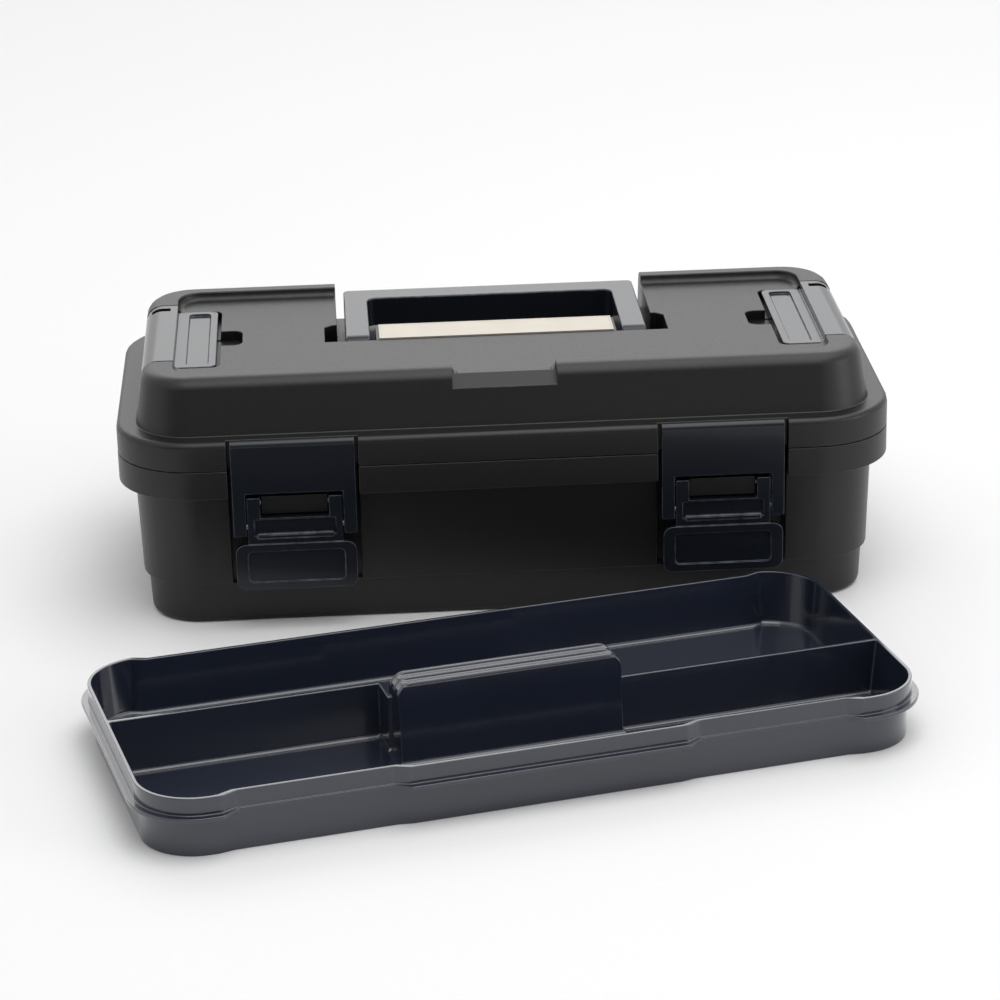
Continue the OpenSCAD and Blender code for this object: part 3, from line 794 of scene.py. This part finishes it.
@dataclass
class EndClip:
    """One end clip, a flap that turns up on its barrel.

    Attributes:
        side: The end of the box that it is at.
        edge: The rounding of its corners.
        panel_corner: The rounding of its panel's inner corners.
        slot_out: The ends of the nail slot, from the clip's outer end.
        slot_back: The front and back of the nail slot, from the clip's back end.
        slot_deep: The depth of the nail slot.
        slot_lean: How far upright the normals of the faces are that it is sunk in.
    """

    side: Side
    edge: float = 0.6
    panel_corner: float = 2.4
    slot_out: tuple[float, float] = (3.4, 13.2)
    slot_back: tuple[float, float] = (9.4, 4.6)
    slot_deep: float = 1.3
    slot_lean: float = 0.4

    def nail_slot(self, bm: bmesh.types.BMesh, node: str) -> None:
        """Sink the short slot near the back end of the clip's outer block.

        Args:
            bm: The clip's mesh.
            node: The clip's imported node.
        """
        low, high = packed_box(node)
        tip = high.x if self.side is Side.RIGHT else low.x
        near, far = (tip - self.side.value * out * MM for out in self.slot_out)
        front, back = (high.y - out * MM for out in self.slot_back)
        for axis, place in ((ALONG_X, near), (ALONG_X, far), (ALONG_Y, front), (ALONG_Y, back)):
            cut_across(bm, [*bm.verts, *bm.edges, *bm.faces], axis, place)
        spot = [f for f in bm.faces if f.normal.z > self.slot_lean
                and min(near, far) < f.calc_center_median().x < max(near, far)
                and front < f.calc_center_median().y < back]
        sunk = bmesh.ops.extrude_face_region(bm, geom=spot)["geom"]
        bmesh.ops.delete(bm, geom=spot, context="FACES")
        bmesh.ops.translate(bm, vec=(0.0, 0.0, -self.slot_deep * MM),
                            verts=[v for v in sunk if isinstance(v, bmesh.types.BMVert)])

    def build(self) -> list[bpy.types.Object]:
        """Build the clip.

        Returns:
            The clip.
        """
        node = f"clip_{self.side.tag}"
        bm = packed_copy(node)
        soften(bm, self.panel_corner, lambda e: upright(e) and not e.is_convex, segments=5)
        soften(bm, self.edge)
        self.nail_slot(bm, node)
        return [make_piece(bm, f"end_clip_{self.side.tag}", node, Finish.TRIM, node)]


@dataclass
class SteelPins:
    """The wire pins of the hinges, latches and clips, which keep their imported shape.

    Attributes:
        kinds: The pins' packed names, without their sides.
    """

    kinds: tuple[str, ...] = ("hinge_pin", "lever_pin", "hook_pin", "clip_pin")

    def build(self) -> list[bpy.types.Object]:
        """Give each pin its material.

        Returns:
            The pins.
        """
        steel = DrawnSteel().material()
        pins = [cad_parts[f"{kind}_{side.tag}"] for kind in self.kinds for side in Side]
        for pin in pins:
            slot = pin.material_slots[0]
            slot.link = "OBJECT"
            slot.material = steel
        return pins


@dataclass
class LiftOutTray:
    """The tray with its ledge, dividers and ridged grip, worked on square to its own axes.

    Attributes:
        edge: The rounding of its other corners.
        turn: How far it stands turned, in degrees.
        back_out: How far its back corners stand out.
        floor: The height of its floor.
        ledge_top: The height of the carrying ledge's upper face.
        rim: The height of its rim.
        cove: The rounding along its floor.
        draft_foot: How far above the floor the walls' even draft begins, in coves.
        draft_top: How far under the rim that draft ends, in roundings.
        jog: The rounding of the slopes beside its bays.
        jog_turn: The least and the most turn of those slopes, in degrees.
        bays_end: How far off its middle the bays reach.
        corner: The rounding of the upright corners past the bays.
        cuts: Where its long rings are cut, left to right.
        ring_points: The least number of points of such a ring.
        grip_half: Half the width of the grip.
        grip_top: The height of the grip.
        grip_corner: The corner radius of the grip.
        grip_edge: The rounding of the corners above the rim.
        ridges: The places of the ridges, front to back.
        ridge_radius: The radius of a ridge.
        ridge_foot: The height of the ridges' ends.
        ridge_in: How far inside the grip's ends their middles lie, in radii.
        ridge_under: How far under the grip's top their middles lie, in radii.
    """

    edge: float = 0.5
    turn: float = 13.5
    back_out: float = 3.0
    floor: float = 2.0
    ledge_top: float = 20.5
    rim: float = 28.8
    cove: float = 2.2
    draft_foot: float = 1.6
    draft_top: float = 2.2
    jog: float = 0.9
    jog_turn: tuple[float, float] = (11.0, 40.0)
    bays_end: float = 152.0
    corner: float = 1.0
    cuts: tuple[float, ...] = (-152.0, -107.0, -58.0, 0.0, 58.0, 107.0, 152.0)
    ring_points: int = 40
    grip_half: float = 53.5
    grip_top: float = 41.0
    grip_corner: float = 7.0
    grip_edge: float = 0.22
    ridges: tuple[float, ...] = (-4.7, -11.0, -17.2)
    ridge_radius: float = 1.25
    ridge_foot: float = 31.0
    ridge_in: float = 0.45
    ridge_under: float = 0.85

    def place(self) -> Matrix:
        """Work out where the tray stands.

        Returns:
            The matrix from the tray's own axes to its place.
        """
        low, high = packed_box("tray")
        turn = Matrix.Rotation(math.radians(self.turn), 4, "Z")
        middle = (low + high) / 2 - turn @ Vector((0.0, self.back_out / 2 * MM, 0.0))
        middle.z = 0.0
        return Matrix.Translation(middle) @ turn

    def even_wall(self, bm: bmesh.types.BMesh) -> None:
        """Turn the step inside the wall into one even draft.

        Args:
            bm: The tray's mesh, square to its own axes.
        """
        def at(vert: bmesh.types.BMVert, height: float) -> bool:
            """Tell whether a point lies at one height, in millimetres."""
            return abs(vert.co.z - height * MM) < NEAR * MM

        inner = {v for v in bm.verts if at(v, self.ledge_top)
                 and any(at(e.other_vert(v), self.floor) for e in v.link_edges)}
        step = [f for f in bm.faces if f.normal.z > LEVEL and any(v in inner for v in f.verts)
                and all(at(v, self.ledge_top) for v in f.verts)]
        outer = {v for f in step for v in f.verts} - inner
        bmesh.ops.triangulate(bm, faces=step)
        drop = self.ledge_top - self.floor - self.draft_foot * self.cove
        bmesh.ops.translate(bm, verts=list(inner), vec=(0.0, 0.0, -drop * MM))
        rise = self.rim - self.ledge_top - self.draft_top * self.edge
        bmesh.ops.translate(bm, verts=list(outer), vec=(0.0, 0.0, rise * MM))

    def cut_rings(self, bm: bmesh.types.BMesh) -> None:
        """Cut the long flat rings of the rim and the ledge into simple stretches.

        Args:
            bm: The tray's mesh, square to its own axes.
        """
        for x in self.cuts:
            geom: set[Geometry] = {f for f in bm.faces if len(f.verts) > self.ring_points
                                   and abs(f.normal.z) > LEVEL}
            geom |= {e for f in list(geom) for e in f.edges} | {v for f in geom for v in f.verts}
            cut_across(bm, list(geom), ALONG_X, x * MM)

    def build_shell(self) -> bpy.types.Object:
        """Build the tray's moulding.

        Returns:
            The moulding.
        """
        bm = packed_copy("tray")
        place = self.place()
        bmesh.ops.transform(bm, matrix=place.inverted(), verts=bm.verts)
        self.even_wall(bm)
        self.cut_rings(bm)
        bays, above = self.bays_end * MM, (self.rim + self.edge) * MM
        least, most = self.jog_turn
        soften(bm, self.jog, angle=least,
               pick=lambda e: upright(e) and abs(e.verts[0].co.x) < bays
               and e.calc_face_angle(0.0) < math.radians(most))
        soften(bm, self.cove, level(self.floor), segments=4)
        soften(bm, self.corner, lambda e: upright(e) and abs(e.verts[0].co.x) > bays)
        soften(bm, self.grip_edge, lambda e: all(v.co.z > above for v in e.verts))
        soften(bm, self.edge, lambda e: any(v.co.z < above for v in e.verts))
        bmesh.ops.transform(bm, matrix=place, verts=bm.verts)
        return make_piece(bm, "lift_out_tray", "tray", Finish.TRAY, "tray")

    def ridge(self, bm: bmesh.types.BMesh, y: float) -> None:
        """Run one round ridge up, over and down the grip.

        Args:
            bm: The mesh to add to.
            y: The ridge's place, front to back, in millimetres.
        """
        r = self.ridge_radius
        x, z = self.grip_half - self.ridge_in * r, self.grip_top - self.ridge_under * r
        bend = self.grip_corner - self.ridge_in * r
        ring = bmesh.ops.create_circle(bm, segments=12, radius=r * MM, cap_ends=True)["verts"]
        bmesh.ops.translate(bm, vec=Vector((-x, y, self.ridge_foot)) * MM, verts=ring)
        end: list[bmesh.types.BMFace] = [f for v in ring for f in v.link_faces][:1]

        def run(vec: Triple) -> list[bmesh.types.BMFace]:
            """Push the end face along a straight stretch.

            Args:
                vec: The stretch, in millimetres.

            Returns:
                The new end face.
            """
            new = bmesh.ops.extrude_face_region(bm, geom=end)["geom"]
            verts = [g for g in new if isinstance(g, bmesh.types.BMVert)]
            bmesh.ops.translate(bm, vec=Vector(vec) * MM, verts=verts)
            return [g for g in new if isinstance(g, bmesh.types.BMFace)]

        def turn(cx: float) -> list[bmesh.types.BMFace]:
            """Turn the end face round one corner of the grip.

            Args:
                cx: The bend's middle, left to right, in millimetres.

            Returns:
                The new end face.
            """
            new = bmesh.ops.spin(bm, geom=end, cent=Vector((cx, y, z - bend)) * MM,
                                 axis=ALONG_Y, dvec=(0.0, 0.0, 0.0),
                                 angle=math.radians(90), steps=6, use_duplicate=False)
            return [g for g in new["geom_last"] if isinstance(g, bmesh.types.BMFace)]

        end = run((0.0, 0.0, z - bend - self.ridge_foot))
        end = turn(bend - x)
        end = run((2 * (x - bend), 0.0, 0.0))
        end = turn(x - bend)
        run((0.0, 0.0, bend - z + self.ridge_foot))

    def build_ridges(self) -> bpy.types.Object:
        """Build the ridges over the grip.

        Returns:
            The ridges.
        """
        bm = bmesh.new()
        bm.loops.layers.float.new(WEAR)
        for y in self.ridges:
            self.ridge(bm, y)
        bmesh.ops.remove_doubles(bm, verts=bm.verts, dist=MERGE * MM)
        bmesh.ops.recalc_face_normals(bm, faces=bm.faces)
        bmesh.ops.transform(bm, matrix=self.place(), verts=bm.verts)
        return make_piece(bm, "tray_grip_ridges", "tray", Finish.TRAY)

    def build(self) -> list[bpy.types.Object]:
        """Build the tray and its ridges and return them."""
        return [self.build_shell(), self.build_ridges()]


# --- Studio ------------------------------------------------------------------


@dataclass(frozen=True)
class SoftBox:
    """One lamp with a wide soft front.

    Attributes:
        name: The lamp's name.
        size: Its width and height, in metres.
        power: Its power, in watts.
        place: Where it hangs, in metres.
        aim: The point that it faces, in metres.
    """

    name: str
    size: tuple[float, float]
    power: float
    place: Triple
    aim: Triple

    def hang(self) -> None:
        """Hang the lamp."""
        data = bpy.data.lights.new(self.name, "AREA")
        data.shape = "RECTANGLE"
        data.size, data.size_y = self.size
        data.energy = self.power
        lamp = bpy.data.objects.new(self.name, data)
        turn = (Vector(self.aim) - Vector(self.place)).to_track_quat("-Z", "Y")
        lamp.matrix_world = Matrix.LocRotScale(Vector(self.place), turn, None)
        bpy.context.scene.collection.objects.link(lamp)


@dataclass
class Studio:
    """A pale floor, a screen, soft light from behind and above, and the camera.

    Attributes:
        floor_size: The width of the floor, in metres.
        floor_tones: The two colours of the floor's card.
        fibre: The width of its fibres, in millimetres.
        screen_half: Half the width and height of the screen, in metres.
        screen_place: The screen's middle, in metres.
        screen_tone: The screen's colour.
        air: The colour all round.
        air_light: How strongly the air lights what is matt.
        air_seen: How strong the air is where it is seen, mirrored or looked at through glass.
        lamps: The lamps.
        lens: The camera's focal length, in millimetres.
        sensor: The width of its sensor, in millimetres.
        reach: How far it sees, in metres.
        place: Where it stands, in metres.
        pitch: How far it looks down, in degrees.
        yaw: How far it looks to the right, in degrees.
        roll: How far it leans, in degrees.
    """

    floor_size: float = 16.0
    floor_tones: tuple[str, str] = ("#f1f1f1", "#f4f4f4")
    fibre: float = 3.0
    screen_half: tuple[float, float] = (2.3, 0.9)
    screen_place: Triple = (-1.3, -2.6, 0.9)
    screen_tone: str = "#8c8c8c"
    air: str = "#fbfbfb"
    air_light: float = 0.64
    air_seen: float = 1.0
    lamps: tuple[SoftBox, ...] = (
        SoftBox("back_soft_box", (6.1, 3.3), 80.0, (0.0, 4.5, 3.0), (0.0, 0.0, 0.1)),
        SoftBox("top_strip_box", (2.6, 1.5), 24.0, (0.35, -0.3, 2.1), (0.0, -0.1, 0.0)),
        SoftBox("right_soft_box", (1.4, 1.0), 9.0, (2.4, -1.0, 0.8), (0.0, -0.1, 0.1)),
    )
    lens: float = 122.34
    sensor: float = 36.0
    reach: float = 60.0
    place: Triple = (-0.08809, -1.67311, 0.67412)
    pitch: float = 21.092
    yaw: float = 3.023
    roll: float = 1.318

    def floor(self) -> None:
        """Lay the pale floor, which keeps the object's shadow."""
        material, tree = blank_material("pale_paper_sweep")
        where = add_node(tree, "ShaderNodeTexCoord").outputs["Object"]
        # Card has a faint fibre; it is drawn 3 mm across so that it shows.
        fibre = add_node(tree, "ShaderNodeTexNoise",
                         {"Vector": where, "Scale": 1 / (self.fibre * MM),
                          "Detail": 3.0}).outputs["Fac"]
        plain, bright = (linear(tone) for tone in self.floor_tones)
        colour = add_node(tree, "ShaderNodeMix", {"Factor": fibre, "A": plain, "B": bright},
                          data_type="RGBA")
        matt = add_node(tree, "ShaderNodeBsdfDiffuse", {"Color": colour.outputs["Result"]})
        add_node(tree, "ShaderNodeOutputMaterial", {"Surface": matt.outputs["BSDF"]})
        bm = bmesh.new()
        bmesh.ops.create_grid(bm, x_segments=4, y_segments=4, size=self.floor_size / 2)
        floor = stand(bm, "studio_floor", material)

    def screen(self) -> None:
        """Stand a grey screen behind the camera, so that the front faces reflect less."""
        material, tree = blank_material("grey_felt")
        dull = add_node(tree, "ShaderNodeBsdfDiffuse", {"Color": linear(self.screen_tone)})
        add_node(tree, "ShaderNodeOutputMaterial", {"Surface": dull.outputs["BSDF"]})
        bm = bmesh.new()
        bmesh.ops.create_grid(bm, x_segments=1, y_segments=1, size=1.0)
        bmesh.ops.scale(bm, vec=(*self.screen_half, 1.0), verts=bm.verts)
        bmesh.ops.rotate(bm, cent=(0, 0, 0), matrix=Matrix.Rotation(math.radians(90), 3, "X"),
                         verts=bm.verts)
        bmesh.ops.translate(bm, vec=self.screen_place, verts=bm.verts)
        screen = stand(bm, "grey_screen", material)
        screen.visible_camera = False

    def world(self) -> None:
        """Light the scene from all round, white where it is seen or reflected."""
        world = bpy.data.worlds.new("studio_air")
        bpy.context.scene.world = world
        world.use_nodes = True
        tree = world.node_tree
        tree.nodes.clear()
        ray = add_node(tree, "ShaderNodeLightPath")
        seen = add_node(tree, "ShaderNodeMath", {0: ray.outputs["Is Camera Ray"],
                                                 1: ray.outputs["Is Glossy Ray"]}, operation="ADD")
        seen = add_node(tree, "ShaderNodeMath", {0: seen.outputs["Value"],
                                                 1: ray.outputs["Is Transmission Ray"]},
                        operation="ADD", use_clamp=True)
        glow = add_node(tree, "ShaderNodeMapRange",
                        {"Value": seen.outputs["Value"], "To Min": self.air_light,
                         "To Max": self.air_seen})
        sky = add_node(tree, "ShaderNodeBackground",
                       {"Color": linear(self.air), "Strength": glow.outputs["Result"]})
        add_node(tree, "ShaderNodeOutputWorld", {"Surface": sky.outputs["Background"]})

    def camera(self) -> None:
        """Place the camera."""
        data = bpy.data.cameras.new("camera")
        data.sensor_width = self.sensor
        data.lens = self.lens
        data.clip_end = self.reach
        camera = bpy.data.objects.new("camera", data)
        turn = (Matrix.Rotation(math.radians(-self.yaw), 4, "Z")
                @ Matrix.Rotation(math.radians(90 - self.pitch), 4, "X")
                @ Matrix.Rotation(math.radians(-self.roll), 4, "Z"))
        camera.matrix_world = Matrix.Translation(self.place) @ turn
        bpy.context.scene.collection.objects.link(camera)
        bpy.context.scene.camera = camera

    def build(self) -> None:
        """Build the studio round the object."""
        self.floor()
        self.screen()
        self.world()
        for lamp in self.lamps:
            lamp.hang()
        self.camera()
        bpy.context.scene.view_settings.view_transform = "Standard"


def main() -> None:
    """Build every sub-assembly in order and report each piece."""
    logging.basicConfig(level=logging.INFO, format="%(name)s: %(message)s")
    Studio().build()
    parts: list[SubAssembly] = [Tub(), Lid(), CarryHandle(), LabelPlate()]
    for side in Side:
        parts += [DrawLatch(side), EndClip(side)]
    parts += [LiftOutTray(), SteelPins()]
    for part in parts:
        for piece in part.build():
            log.info("%s: %d faces", piece.name, len(piece.data.polygons))


if __name__ == "__main__":
    main()
